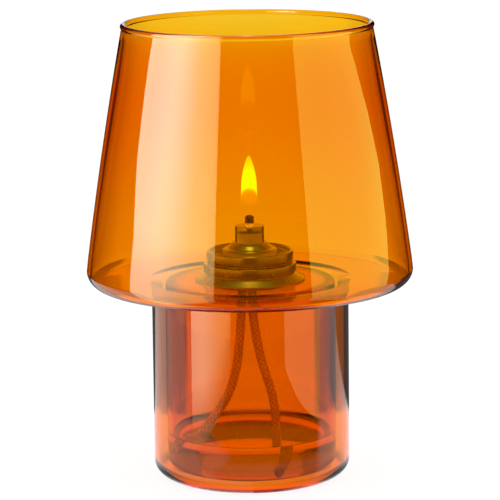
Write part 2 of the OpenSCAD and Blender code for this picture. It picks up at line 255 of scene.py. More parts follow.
# The routes of the two feeder cords, from inside the tube down into the oil.
LEFT_ROUTE = [
    (-0.004, 0, 0.106), (-0.004, 0, 0.099), (-0.004, 0, 0.092), (-0.0042, 0, 0.085),
    (-0.0047, 0, 0.078), (-0.0052, 0, 0.071), (-0.0058, 0, 0.064), (-0.0066, 0, 0.057),
    (-0.008, 0, 0.05), (-0.01, -0.0003, 0.0435), (-0.0128, -0.0007, 0.0375),
    (-0.0162, -0.0012, 0.032), (-0.02, -0.0018, 0.027), (-0.024, -0.0025, 0.022),
    (-0.0276, -0.0032, 0.0175), (-0.031, -0.004, 0.013),
]
RIGHT_ROUTE = [
    (0.0009, 0, 0.106), (0.0009, 0, 0.099), (0.0009, 0, 0.092), (0.001, 0, 0.085),
    (0.0015, 0, 0.078), (0.0024, 0, 0.071), (0.0036, 0, 0.064), (0.0052, 0, 0.057),
    (0.0072, 0, 0.05), (0.0092, 0, 0.0435), (0.0108, 0, 0.037), (0.0118, 0, 0.03),
    (0.0122, -0.0002, 0.023), (0.0122, -0.0018, 0.017), (0.0122, -0.006, 0.012),
    (0.0121, -0.012, 0.0096), (0.012, -0.0185, 0.0092), (0.0119, -0.025, 0.0092),
    (0.0118, -0.031, 0.0092),
]


# ------------------------------------------------------------------ settings
def number_setting(name, description, default, **more):
    return bpy.props.FloatProperty(name=name, description=description, default=default, **more)


def length_setting(name, description, default):
    return number_setting(name, description, default, unit="LENGTH")


def angle_setting(name, description, degrees):
    turn = math.radians(degrees)
    return number_setting(name, description, turn, subtype="ANGLE", unit="ROTATION")


def colour_setting(name, description, default):
    return bpy.props.FloatVectorProperty(
        name=name, description=description, size=3, default=default, subtype="COLOR",
        min=0.0, max=1.0,
    )


class OILLAMP_PG_studio(bpy.types.PropertyGroup):
    """Camera, floor and soft light round the lamp."""

    camera_place: bpy.props.FloatVectorProperty(
        name="Camera place", description="Where the camera stands", size=3,
        default=(0.00014, -1.3307, 0.3652), subtype="TRANSLATION", unit="LENGTH",
    )
    camera_tilt: angle_setting("Camera tilt", "How far the camera looks down", 10.783)
    camera_roll: angle_setting(
        "Camera roll", "How far the camera leans about its own line of sight", -0.665,
    )
    camera_lens: number_setting(
        "Lens", "Focal length on a 36 mm wide sensor, in millimetres", 198.9,
    )
    floor_colour: colour_setting("Floor colour", "Colour of the plain pale floor", (1.0, 1.0, 1.0))
    left_panel_light: number_setting(
        "Left panel light", "Brightness of the diffuser close to the lamp's left", 12.2,
    )
    right_card_light: number_setting(
        "Right card light", "Brightness of the reflector card on the right", 3.23,
    )
    right_card_colour: colour_setting(
        "Right card colour", "Warm light that the glass throws on the card", (0.84, 1.0, 0.15),
    )
    top_light: number_setting("Top light", "Brightness overhead, as polished metal shows it", 3.5)
    plain_light: number_setting("Plain light", "Even light that falls on every matte surface", 1.0)
    inside_light: number_setting(
        "Inside light", "Even light on the matte surfaces inside the glass", 3.1,
    )
    glow_in_metal: number_setting(
        "Glow in metal", "Dim surroundings that metal inside the glass mirrors", 0.55,
    )


class OILLAMP_PG_glass(bpy.types.PropertyGroup):
    """Colour of the blown glass."""

    lamp_filter: colour_setting(
        "Lamp glass filter", "Light that the lamp's glass lets through", (0.994, 0.855, 0.01),
    )
    lamp_density: number_setting(
        "Lamp glass density", "How strongly the lamp's glass filters, per metre", 1880.0,
    )
    vessel_filter: colour_setting(
        "Vessel glass filter", "Light that the vessel's glass lets through", (0.993, 0.875, 0.01),
    )
    vessel_density: number_setting(
        "Vessel glass density", "How strongly the vessel's glass filters, per metre", 1500.0,
    )
    ior: number_setting("Glass refraction", "Index of refraction of the glass", 1.5)
    oil_ior: number_setting("Oil refraction", "Index of refraction of the lamp oil", 1.44)


class OILLAMP_PG_burner(bpy.types.PropertyGroup):
    """Finish of the collar, burner and sealing ring."""

    plate_colour: colour_setting(
        "Plating colour", "Colour of the nickel plating", (0.72, 0.7, 0.66),
    )
    plate_roughness: number_setting(
        "Plating roughness", "How satin the plating is", 0.23, min=0.0, max=1.0,
    )
    seal_colour: colour_setting("Seal colour", "Colour of the sealing ring", (0.16, 0.12, 0.09))


class OILLAMP_PG_wick(bpy.types.PropertyGroup):
    """Wick, feeder cords and flame."""

    fibre_colour: colour_setting(
        "Wick colour", "Colour of the glass-fibre wick below its burnt end", (0.8, 0.77, 0.7),
    )
    char_colour: colour_setting(
        "Char colour", "Colour of the wick's burnt end", (0.07, 0.036, 0.03),
    )
    cotton_colour: colour_setting("Cord colour", "Colour of the cotton cords", (0.85, 0.8, 0.68))
    cord_d: length_setting("Cord width", "Width of a feeder cord", 2 * WICK_R)
    flame_h: length_setting("Flame height", "Height of the flame's tip above the wick", 29.5 * MM)
    flame_r: length_setting("Flame radius", "Radius of the flame at its widest", 3.85 * MM)
    flame_light: number_setting("Flame light", "Brightness of the flame's body", 2.4)


SETTINGS = {
    "oil_lamp_studio": OILLAMP_PG_studio,
    "oil_lamp_glass": OILLAMP_PG_glass,
    "oil_lamp_burner": OILLAMP_PG_burner,
    "oil_lamp_wick": OILLAMP_PG_wick,
}


# ------------------------------------------------------------------ shader building
WHITE = (1.0, 1.0, 1.0, 1.0)
BLACK = (0.0, 0.0, 0.0, 1.0)


def fill(tree, node, inputs):
    """Sets the node's inputs to values, or links them to sockets."""
    for name, value in inputs.items():
        if isinstance(value, bpy.types.NodeSocket):
            tree.links.new(value, node.inputs[name])
        else:
            node.inputs[name].default_value = value
    return node


def add_node(tree, kind, inputs=None, **settings):
    """A new node with its settings and its inputs."""
    made = tree.nodes.new(kind)
    for name, value in settings.items():
        setattr(made, name, value)
    return fill(tree, made, inputs or {})


def calculate(tree, operation, *values):
    """The result of one Math node."""
    node = add_node(tree, "ShaderNodeMath", dict(enumerate(values)), operation=operation)
    return node.outputs[0]


def product(tree, first, *others):
    for other in others:
        first = calculate(tree, "MULTIPLY", first, other)
    return first


def highest(tree, *values):
    return calculate(tree, "MAXIMUM", *values)


def ramp(tree, value, low, high, to_low=0.0, to_high=1.0, smooth=True):
    """A value mapped from low..high to to_low..to_high, and held at both ends."""
    node = add_node(
        tree, "ShaderNodeMapRange",
        {"Value": value, "From Min": low, "From Max": high, "To Min": to_low, "To Max": to_high},
        interpolation_type="SMOOTHSTEP" if smooth else "LINEAR", clamp=True,
    )
    return node.outputs["Result"]


def choose(tree, factor, first, second):
    """The first value where the factor is 0, and the second where it is 1."""
    return add_node(tree, "ShaderNodeMix", {0: factor, 2: first, 3: second}).outputs[0]


def blend_colours(tree, factor, first, second, mode="MIX"):
    """Two colours mixed by a factor."""
    node = add_node(
        tree, "ShaderNodeMix", {0: factor, 6: first, 7: second}, data_type="RGBA", blend_type=mode,
    )
    return node.outputs[2]


def noise(tree, place, scale, detail):
    node = add_node(tree, "ShaderNodeTexNoise", {"Vector": place, "Scale": scale, "Detail": detail})
    return node.outputs["Fac"]


def past(tree, kind):
    """1 for a ray that has met a surface of the kind, else 0: Glossy, Diffuse or Transmission."""
    path = add_node(tree, "ShaderNodeLightPath").outputs
    return calculate(tree, "GREATER_THAN", path[f"{kind} Depth"], 0.5)


def split_up(tree, vector):
    """The vector's x, y and z."""
    return add_node(tree, "ShaderNodeSeparateXYZ", {"Vector": vector}).outputs


def object_place(tree):
    """The Object coordinates as a vector, and split into x, y and z."""
    place = add_node(tree, "ShaderNodeTexCoord").outputs["Object"]
    return place, split_up(tree, place)


def from_axis(tree, split):
    """How far a place is from the lamp's axis."""
    squares = [calculate(tree, "MULTIPLY", way, way) for way in (split[0], split[1])]
    return calculate(tree, "SQRT", calculate(tree, "ADD", *squares))


def new_material(name):
    """A material with its tree, its Principled shader and its output node."""
    material = bpy.data.materials.new(name)
    material.use_nodes = True
    tree = material.node_tree
    return material, tree, tree.nodes["Principled BSDF"], tree.nodes["Material Output"]


def opaque_colour(colour):
    return (*colour, 1.0)


def effect_group(name, inputs, outputs):
    """An empty node group with its named sockets; inputs and outputs map a name to a kind."""
    group = bpy.data.node_groups.new(name, "ShaderNodeTree")
    for way, sockets in (("INPUT", inputs), ("OUTPUT", outputs)):
        for socket, kind in sockets.items():
            group.interface.new_socket(socket, in_out=way, socket_type=f"NodeSocket{kind}")
    given = group.nodes.new("NodeGroupInput").outputs
    return group, given, group.nodes.new("NodeGroupOutput")


def turning_marks_group():
    """Fine rings and soft smudges that a turned and handled metal piece shows."""
    group, given, result = effect_group(
        "Turning marks",
        {"Place": "Vector", "Ring scale": "Float", "Smudge scale": "Float", "Colour": "Color",
         "Tarnish": "Color", "Roughness": "Float"},
        {"Colour": "Color", "Roughness": "Float", "Height": "Float"},
    )
    split = split_up(group, given["Place"])
    lathe_place = add_node(
        group, "ShaderNodeCombineXYZ", {"X": from_axis(group, split), "Z": split[2]},
    ).outputs["Vector"]
    smudge = noise(group, given["Place"], given["Smudge scale"], 5.0)
    tarnish = ramp(group, smudge, 0.5, 0.75, 0.0, 0.3)
    fill(group, result, {
        "Colour": blend_colours(group, tarnish, given["Colour"], given["Tarnish"]),
        "Roughness": calculate(
            group, "ADD", given["Roughness"], ramp(group, smudge, 0.35, 0.7, -0.03, 0.06),
        ),
        "Height": noise(group, lathe_place, given["Ring scale"], 3.0),
    })
    return group


def blown_surface_group():
    """The very slight unevenness of a blown wall, as a height."""
    group, given, result = effect_group(
        "Blown surface", {"Place": "Vector", "Wave scale": "Float"}, {"Height": "Float"},
    )
    fill(group, result, {"Height": noise(group, given["Place"], given["Wave scale"], 1.0)})
    return group


def yarn_group():
    """Fine fibres along a strand, from the piece's UV map, and painted shade that darkens the
    hollows between strands.
    """
    group, given, result = effect_group(
        "Yarn",
        {"UV": "Vector", "Relief": "Float", "Colour": "Color", "Painted hollow shade": "Color"},
        {"Colour": "Color", "Height": "Float"},
    )
    stretched = add_node(
        group, "ShaderNodeMapping", {"Vector": given["UV"], "Scale": (90.0, 14.0, 1.0)},
    ).outputs["Vector"]
    fibres = noise(group, stretched, 1.0, 4.0)
    # Painted shade: where the relief sinks between strands, the colour blends towards the hollow
    # shade colour.
    hollow = ramp(group, given["Relief"], 0.15, 0.75, 1.0, 0.0)
    colour = blend_colours(group, hollow, given["Colour"], given["Painted hollow shade"])
    shade = ramp(group, fibres, 0.3, 0.7, 0.82, 1.05)
    grey = add_node(group, "ShaderNodeCombineColor", {0: shade, 1: shade, 2: shade}).outputs[0]
    shaded = blend_colours(group, 1.0, colour, grey, "MULTIPLY")
    fill(group, result, {"Colour": shaded, "Height": fibres})
    return group


def placed_group(tree, name, builder, inputs):
    """The named effect in a material, with its own values."""
    node = tree.nodes.new("ShaderNodeGroup")
    node.node_tree = bpy.data.node_groups.get(name) or builder()
    return fill(tree, node, inputs).outputs


def bump(tree, height, strength, distance):
    node = add_node(
        tree, "ShaderNodeBump", {"Height": height, "Strength": strength, "Distance": distance},
    )
    return node.outputs["Normal"]


# ------------------------------------------------------------------ materials
OIL_TINT = (1.0, 0.99, 0.97, 1.0)
TARNISH = (0.52, 0.46, 0.38, 1.0)
RUBBER_BLOOM = (0.2, 0.17, 0.15, 1.0)
# Painted shade colours for the hollows between plaited strands.
COTTON_HOLLOW_SHADE = (0.45, 0.36, 0.24)
FIBRE_HOLLOW_SHADE = (0.35, 0.32, 0.27)
FLAME_FRONT, FLAME_SIDE = (0.42, 0.95, 0.05, 1.0), (0.7, 0.85, 0.02, 1.0)
FLAME_TIP, FLAME_HOLLOW = (0.75, 0.6, 0.02, 1.0), (0.5, 0.3, 0.01, 1.0)


def clear_body(name, tint, ior, wave_scale, wave_strength, wave_h):
    """A clear material whose surface waves a little."""
    material, tree, shader, output = new_material(name)
    place, _ = object_place(tree)
    waves = placed_group(
        tree, "Blown surface", blown_surface_group, {"Place": place, "Wave scale": wave_scale},
    )["Height"]
    fill(tree, shader, {
        "Base Color": tint, "Roughness": 0.0, "IOR": ior, "Transmission Weight": 1.0,
        "Normal": bump(tree, waves, wave_strength, wave_h),
    })
    return material, tree, output


def blown_glass(name, light_filter, density, wave_strength):
    """Clear coloured glass, whose colour comes from its thickness."""
    ior = bpy.context.scene.oil_lamp_glass.ior
    material, tree, output = clear_body(name, WHITE, ior, 22.0, wave_strength, 0.4 * MM)
    absorption = add_node(
        tree, "ShaderNodeVolumeAbsorption",
        {"Color": opaque_colour(light_filter), "Density": density},
    )
    fill(tree, output, {"Volume": absorption.outputs["Volume"]})
    return material


def clear_oil():
    """Clear lamp oil with a few tiny ripples on its surface."""
    ior = bpy.context.scene.oil_lamp_glass.oil_ior
    return clear_body("Lamp oil", OIL_TINT, ior, 60.0, 0.05, 0.2 * MM)[0]


def plated_metal(name, ring_scale, roughness_step=0.0):
    """Nickel plating over turned or pressed sheet."""
    settings = bpy.context.scene.oil_lamp_burner
    material, tree, shader, _ = new_material(name)
    marks = placed_group(
        tree, "Turning marks", turning_marks_group,
        {"Place": object_place(tree)[0], "Ring scale": ring_scale, "Smudge scale": 120.0,
         "Colour": opaque_colour(settings.plate_colour), "Tarnish": TARNISH,
         "Roughness": settings.plate_roughness + roughness_step},
    )
    fill(tree, shader, {
        "Metallic": 1.0, "Base Color": marks["Colour"], "Roughness": marks["Roughness"],
        "Normal": bump(tree, marks["Height"], 0.08, 0.02 * MM),
    })
    return material


def soft_rubber():
    """The sealing ring's silicone, matte with a faint bloom."""
    material, tree, shader, _ = new_material("Seal rubber")
    bloom = noise(tree, object_place(tree)[0], 900.0, 4.0)
    colour = opaque_colour(bpy.context.scene.oil_lamp_burner.seal_colour)
    dusty = ramp(tree, bloom, 0.5, 0.75, 0.0, 0.3)
    fill(tree, shader, {
        "Base Color": blend_colours(tree, dusty, colour, RUBBER_BLOOM),
        "Roughness": ramp(tree, bloom, 0.3, 0.7, 0.55, 0.75),
        "Normal": bump(tree, bloom, 0.2, 0.03 * MM),
    })
    return material


def yarn(name, colour, hollow_shade_colour, roughness, char=None):
    """Plaited yarn; with char, a colour, a from-height and a to-height, it is burnt at its top."""
    material, tree, shader, _ = new_material(name)
    uv = add_node(tree, "ShaderNodeUVMap", uv_map="along").outputs["UV"]
    relief = add_node(tree, "ShaderNodeAttribute", attribute_name="relief").outputs["Fac"]
    # The hollow colour is painted shade for the hollows between strands.
    made = placed_group(
        tree, "Yarn", yarn_group,
        {"UV": uv, "Relief": relief, "Colour": opaque_colour(colour),
         "Painted hollow shade": opaque_colour(hollow_shade_colour)},
    )
    shown = made["Colour"]
    if char:
        char_colour, low, high = char
        place, split = object_place(tree)
        edge = noise(tree, place, 700.0, 3.0)
        height = calculate(tree, "MULTIPLY_ADD", edge, CHAR_RAGGED, split[2])
        burnt = ramp(tree, height, low + CHAR_RAGGED / 2, high + CHAR_RAGGED / 2)
        shown = blend_colours(tree, burnt, shown, opaque_colour(char_colour))
    fill(tree, shader, {
        "Base Color": shown, "Roughness": roughness, "Sheen Weight": 0.15,
        "Normal": bump(tree, made["Height"], 0.5, 0.08 * MM),
    })
    return material


def flame_glow(foot_z, body_z, tip_z):
    """The flame: clear round the wick, dim orange in its hollow, and bright yellow above."""
    material, tree, shader, _ = new_material("Flame")
    _, split = object_place(tree)
    facing = add_node(tree, "ShaderNodeLayerWeight", {"Blend": 0.35}).outputs["Facing"]
    reach = calculate(tree, "MULTIPLY_ADD", facing, FLAME_EDGE_LIFT, split[2])
    solid = ramp(tree, reach, *[body_z + softness for softness in FLAME_SOFTNESS])
    tip = ramp(tree, split[2], tip_z - FLAME_TIP_H, tip_z)
    yellow = blend_colours(tree, facing, FLAME_FRONT, FLAME_SIDE)
    body = blend_colours(tree, tip, yellow, FLAME_TIP)
    hollow = ramp(tree, split[2], foot_z, body_z, 0.0, 0.5)
    fill(tree, shader, {
        "Base Color": BLACK, "Roughness": 1.0, "Specular IOR Level": 0.0,
        "Emission Strength": bpy.context.scene.oil_lamp_wick.flame_light,
        "Emission Color": blend_colours(tree, solid, FLAME_HOLLOW, body),
        "Alpha": highest(tree, solid, hollow),
    })
    return material


# ------------------------------------------------------------------ shapes
def deselect_all():
    if bpy.context.mode != "OBJECT":
        bpy.ops.object.mode_set(mode="OBJECT")
    bpy.ops.object.select_all(action="DESELECT")


def make_active(piece):
    deselect_all()
    piece.select_set(True)
    bpy.context.view_layer.objects.active = piece


def apply_modifier(piece, name):
    make_active(piece)
    bpy.ops.object.modifier_apply(modifier=name)


def arc(x, z, r, start, end, steps=14):
    """Points of an arc about (x, z), from one angle to another in degrees."""
    angles = [math.radians(start + (end - start) * i / steps) for i in range(steps + 1)]
    return [(x + r * math.cos(a), z + r * math.sin(a)) for a in angles]


def turned(name, outline, steps=160, smooth_angle=35.0, edge=0.0):
    """A closed solid, turned about Z from an outline of (radius, height) points."""
    deselect_all()
    bpy.ops.mesh.primitive_circle_add(
        vertices=len(outline), radius=outline[0][1], fill_type="NOTHING",
    )
    piece = bpy.context.active_object
    piece.name = piece.data.name = name
    for vertex, (radius, height) in zip(piece.data.vertices, outline):
        vertex.co = (radius, 0.0, height)
    on_axis = [i for i, (radius, _) in enumerate(outline) if radius < 1e-9]
    bpy.ops.object.mode_set(mode="EDIT")
    if len(on_axis) == 2:
        bpy.ops.mesh.select_mode(type="EDGE")
        bpy.ops.mesh.select_all(action="DESELECT")
        bpy.ops.object.mode_set(mode="OBJECT")
        for link in piece.data.edges:
            link.select = set(link.vertices) == set(on_axis)
        bpy.ops.object.mode_set(mode="EDIT")
        bpy.ops.mesh.delete(type="EDGE")
    bpy.ops.mesh.select_mode(type="VERT")
    bpy.ops.mesh.select_all(action="SELECT")
    bpy.ops.mesh.spin(
        steps=steps, angle=2 * math.pi, center=(0, 0, 0), axis=(0, 0, 1), use_auto_merge=True,
    )
    bpy.ops.mesh.select_all(action="SELECT")
    bpy.ops.mesh.remove_doubles(threshold=1e-7)
    bpy.ops.mesh.select_all(action="SELECT")
    bpy.ops.mesh.normals_make_consistent(inside=False)
    bpy.ops.object.mode_set(mode="OBJECT")
    finish_edges(piece, edge, smooth_angle)
    return piece


def finish_edges(piece, width, smooth_angle=35.0):
    """Rounds the sharp edges by a width, as pressing leaves them, and smooths the rest."""
    if width:
        bevel = piece.modifiers.new("Edges", "BEVEL")
        bevel.width = width
        bevel.segments = 2
        bevel.limit_method = "ANGLE"
        bevel.angle_limit = math.radians(32)
        apply_modifier(piece, bevel.name)
    make_active(piece)
    bpy.ops.object.shade_smooth_by_angle(angle=math.radians(smooth_angle))


def round_axis(count, reach, height, turn=0.0):
    """Places evenly round the axis, the first at the given turn."""
    angles = [2 * math.pi * i / count + turn for i in range(count)]
    return [(reach * math.cos(a), reach * math.sin(a), height) for a in angles]


def cut_away(piece, cutters, edge=0.0):
    """Cuts the cutters out of the piece, deletes them, and finishes its edges."""
    for cutter in cutters:
        cut = piece.modifiers.new("Cut", "BOOLEAN")
        cut.operation = "DIFFERENCE"
        cut.solver = "EXACT"
        cut.object = cutter
        apply_modifier(piece, cut.name)
        bpy.data.objects.remove(cutter)
    finish_edges(piece, edge)


def dress(piece, material, body, *nodes, slot=None):
    """Gives the piece its material and its body, and hides the nodes that it stands for; its slot
    is not used.
    """
    piece.data.materials.clear()
    piece.data.materials.append(material)
    if nodes:
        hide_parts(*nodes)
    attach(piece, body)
    return piece


def shade_side(u, inset=0.0):
    """The shade's side at u, from 0 at its foot to 1 under the rim, set in by a wall."""
    bead_r = (GLASS_T + BEAD_PROUD) / 2
    top_r = RIM_R - BEAD_PROUD
    top_z = LAMP_H - bead_r
    centre_x = LAMP_R - SHADE_CORNER_R
    centre_z = JOINT_Z + SHADE_CORNER_R
    bulge = 4 * SIDE_BULGE
    lean = math.atan((LAMP_R - top_r - bulge) / (top_z - centre_z))
    foot_r = centre_x + SHADE_CORNER_R * math.cos(lean)
    foot_z = centre_z + SHADE_CORNER_R * math.sin(lean)
    radius = foot_r + (top_r - foot_r) * u + bulge * u * (1 - u)
    height = foot_z + (top_z - foot_z) * u
    facing = math.atan((foot_r - top_r - bulge * (1 - 2 * u)) / (top_z - foot_z))
    return radius - inset * math.cos(facing), height - inset * math.sin(facing)


def side_wall(u):
    """The side's wall, which blowing leaves thickest a little above half way."""
    return GLASS_T - RIM_THINNING * u ** 8 + WALL_SWELL * math.sin(math.pi * u ** 2)


def lamp_glass_outline():
    bead_r = (GLASS_T + BEAD_PROUD) / 2
    corner_x = LAMP_R - SHADE_CORNER_R
    corner_z = JOINT_Z + SHADE_CORNER_R
    in_corner_r = BASE_CORNER_R - GLASS_T
    side_steps = 24
    side_end = 0.99
    sides = [side_end * i / side_steps for i in range(1, side_steps + 1)]
    return [
        (0.0, BASE_HOLLOW_H), (BASE_HOLLOW_R - BASE_HOLLOW_H, BASE_HOLLOW_H), (BASE_HOLLOW_R, 0.0),
        *arc(BASE_R - BASE_CORNER_R, BASE_CORNER_R, BASE_CORNER_R, -90, 0),
        *arc(BASE_R + WAIST_R, JOINT_Z - WAIST_R, WAIST_R, 180, 90, 8),
        *arc(corner_x, corner_z, SHADE_CORNER_R, -90, 0),
        *[shade_side(u) for u in sides],
        *arc(RIM_R - bead_r, LAMP_H - bead_r, bead_r, -50, 180, 24),
        *[shade_side(u, side_wall(u)) for u in reversed(sides)],
        *arc(corner_x, corner_z, SHADE_CORNER_R - GLASS_T, 0, -90),
        *arc(BASE_R + WAIST_R, JOINT_Z - WAIST_R, WAIST_R + GLASS_T, 90, 180, 10),
        *arc(BASE_R - BASE_CORNER_R, BASE_FLOOR_T + in_corner_r, in_corner_r, 0, -90),
        (0.0, BASE_FLOOR_T),
    ]


def vessel_outline():
    in_r = VESSEL_R - VESSEL_T
    floor_z = VESSEL_Z + VESSEL_FLOOR_T
    roof_z = VESSEL_TOP_Z - VESSEL_T
    in_corner_r = VESSEL_CORNER_R - VESSEL_T
    neck_r = NECK_IN_R + NECK_T
    lip_r = NECK_T / 3
    foot_z = VESSEL_Z + FOOT_LIFT
    return [
        (0.0, VESSEL_Z + VESSEL_HOLLOW_H),
        (VESSEL_HOLLOW_R - VESSEL_HOLLOW_H, VESSEL_Z + VESSEL_HOLLOW_H), (VESSEL_HOLLOW_R, foot_z),
        *arc(VESSEL_R - VESSEL_CORNER_R, foot_z + VESSEL_CORNER_R, VESSEL_CORNER_R, -90, 0),
        *arc(VESSEL_R - SHOULDER_R, VESSEL_TOP_Z - SHOULDER_R, SHOULDER_R, 0, 90, 10),
        *arc(neck_r + NECK_ROOT_R, VESSEL_TOP_Z + NECK_ROOT_R, NECK_ROOT_R, 270, 180, 8),
        *arc(neck_r - lip_r, NECK_TOP_Z - lip_r, lip_r, 0, 90, 8),
        *arc(NECK_IN_R + lip_r, NECK_TOP_Z - lip_r, lip_r, 90, 180, 8),
        *arc(NECK_IN_R + lip_r, roof_z + lip_r, lip_r, 180, 270, 8),
        *arc(in_r - INNER_SHOULDER_R, roof_z - INNER_SHOULDER_R, INNER_SHOULDER_R, 90, 0, 10),
        *arc(in_r - in_corner_r, floor_z + in_corner_r, in_corner_r, 0, -90),
        (0.0, floor_z),
    ]


def oil_outline():
    """The oil fills the vessel's floor, laps its wall by a hair and climbs it in a meniscus."""
    wall_r = OIL_R + OIL_GAP + OIL_OVERLAP
    floor_z = OIL_Z - OIL_GAP - OIL_OVERLAP
    corner_r = VESSEL_CORNER_R - VESSEL_T + OIL_OVERLAP
    climb_steps = 12
    climb = []
    for i in range(climb_steps + 1):
        inward = 5 * MENISCUS_W * (i / climb_steps) ** 2
        height = MENISCUS_H * math.exp(-inward / MENISCUS_W)
        climb.append((wall_r - inward, OIL_LEVEL + height))
    return [
        (0.0, floor_z),
        *arc(wall_r - corner_r, floor_z + corner_r, corner_r, -90, 0),
        *climb,
        (0.0, OIL_LEVEL),
    ]


def collar_outline():
    groove_top_z = COLLAR_Z + SKIRT_H + GROOVE_H
    chamfer = 0.3 * MM
    lip_r = NECK_T / 3
    inner_r = COLLAR_R - COLLAR_T
    return [
        (SKIRT_R - COLLAR_T, COLLAR_Z),
        *arc(SKIRT_R - SKIRT_EDGE_H / 2, COLLAR_Z + SKIRT_EDGE_H / 2, SKIRT_EDGE_H / 2, -90, 60, 8),
        (COLLAR_R - GROOVE_D, COLLAR_Z + SKIRT_H),
        (COLLAR_R - GROOVE_D, groove_top_z - chamfer),
        (COLLAR_R, groove_top_z),
        (COLLAR_R, COLLAR_TOP_Z - chamfer),
        (COLLAR_R - chamfer, COLLAR_TOP_Z),
        (NECK_IN_R + lip_r / 2, COLLAR_TOP_Z),
        (NECK_IN_R + lip_r / 2, NECK_TOP_Z),
        (inner_r, NECK_TOP_Z),
        (inner_r, COLLAR_Z + SKIRT_H - SKIRT_EDGE_H),
    ]


def cap_outline():
    rim_x = CAP_R - CAP_RIM_R
    rim_z = CAP_Z + CAP_H - CAP_RIM_R
    trough_z = CAP_Z + CAP_H - TROUGH_D
    corner_x = CAP_R - 2 * CAP_RIM_R - TROUGH_CORNER_R
    corner_z = trough_z + TROUGH_CORNER_R
    fold_r = CAP_RIM_R - SHEET_T
    cone_h = CONE_TOP_Z - CONE_RING_H - trough_z
    under = SHEET_T / math.sin(math.atan2(cone_h, CONE_FOOT_R - CONE_TOP_R))
    cone = [
        (CONE_FOOT_R + (CONE_TOP_R - CONE_FOOT_R) * inwards, 0.0, trough_z + cone_h * up)
        for inwards, up in CONE_SHAPE
    ]
    lip_r = SLEEVE_R + SEAM
    hole_r = TUBE_R + SEAM
    return [
        (lip_r, CAP_Z),
        *arc(CAP_R - CAP_EDGE_R, CAP_Z + CAP_EDGE_R, CAP_EDGE_R, -90, 0, 10),
        *arc(rim_x, rim_z, CAP_RIM_R, 0, 180, 20),
        *arc(corner_x, corner_z, TROUGH_CORNER_R, 0, -90, 8),
        *[(point.x, point.z) for point in smooth_route(cone, 4)],
        (CONE_TOP_R - CONE_RING_H / 3, CONE_TOP_Z),
        (hole_r, CONE_TOP_Z),
        (hole_r, CONE_TOP_Z - CONE_RING_H - under),
        *[(point.x - under / 3, point.z - under) for point in reversed(smooth_route(cone, 4))],
        *arc(corner_x, corner_z, TROUGH_CORNER_R + SHEET_T, -90, 0, 8),
        *arc(rim_x, rim_z, fold_r, 180, 0, 10),
        *arc(CAP_R - CAP_EDGE_R, CAP_Z + CAP_EDGE_R, CAP_EDGE_R - SHEET_T, 0, -90, 8),
        (lip_r, CAP_Z + SHEET_T),
    ]


def ring_outline(inner, outer, bottom, top):
    return [(inner, bottom), (outer, bottom), (outer, top), (inner, top)]


def tip_outline():
    hole_r = WICK_R + WICK_FIT
    spigot_r = TUBE_R - TUBE_T - SEAM
    return [
        (spigot_r - TUBE_T, SPIGOT_Z), (spigot_r, SPIGOT_Z), (spigot_r, TIP_Z),
        (TUBE_R - TIP_GROOVE, TIP_Z), (TUBE_R - TIP_GROOVE, TIP_Z + TIP_GROOVE),
        (TUBE_R, TIP_Z + 2 * TIP_GROOVE),
        *arc(TUBE_R - TIP_ROUND_R, TIP_TOP_Z - TIP_ROUND_R, TIP_ROUND_R, 0, 90, 8),
        (hole_r + TIP_WALL_T, TIP_TOP_Z - TIP_GROOVE), (hole_r, TIP_TOP_Z - 2 * TIP_GROOVE),
        (hole_r, TIP_TOP_Z - TIP_WALL_T), (spigot_r - TUBE_T, TIP_TOP_Z - TIP_WALL_T),
    ]


def smooth_route(points, per_span):
    """A smooth curve through the route's points."""
    route = [Vector(p) for p in points]
    padded = [2 * route[0] - route[1], *route, 2 * route[-1] - route[-2]]
    smooth = []
    for a, b, c, d in zip(padded, padded[1:], padded[2:], padded[3:]):
        for i in range(per_span):
            t = i / per_span
            smooth.append(0.5 * (
                2 * b + (c - a) * t + (2 * a - 5 * b + 4 * c - d) * t ** 2
                + (3 * b - a - 3 * c + d) * t ** 3
            ))
    smooth.append(route[-1])
    return smooth


def plait_relief(turn, pitch, strands):
    """How high a round plait stands, from 0 in its hollows to 1 on its strands."""
    right = strands * turn + pitch
    left = strands * turn - pitch
    over = (math.floor(right) + math.floor(left)) % 2 == 0
    across, along = (right % 1, left % 1) if over else (left % 1, right % 1)
    bulge = math.sqrt(max(0.0, 1 - (2 * across - 1) ** 2))
    return bulge * (0.5 + 0.5 * math.sin(math.pi * along))


